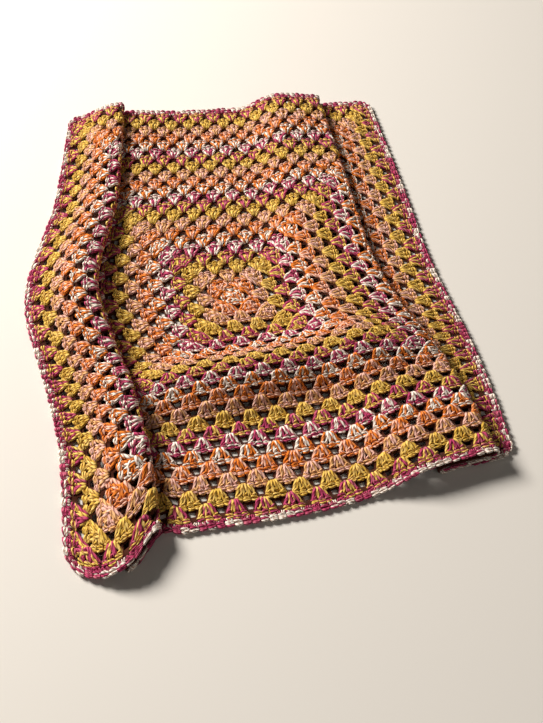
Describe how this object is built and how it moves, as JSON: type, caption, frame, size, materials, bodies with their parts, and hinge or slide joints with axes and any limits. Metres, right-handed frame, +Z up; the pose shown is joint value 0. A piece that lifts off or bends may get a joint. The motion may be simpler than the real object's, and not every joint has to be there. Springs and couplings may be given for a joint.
{
  "type": "granny square blanket",
  "caption": "Large square crochet throw of cluster rounds with open gaps and a corded edging, laid out with one long soft fold down each side.",
  "frame": {"origin": "on the surface it lies on, under the middle of its bounding box", "axes": "+X across the long folds, +Y away along them, +Z up from the surface"},
  "size_m": [0.9996, 1.31, 0.0828],
  "materials": {
    "panel_yarn": "matte",
    "edging_yarn": "matte"
  },
  "bodies": {
    "root": {"panel": "panel_yarn", "edging": "edging_yarn"}
  },
  "joints": []
}
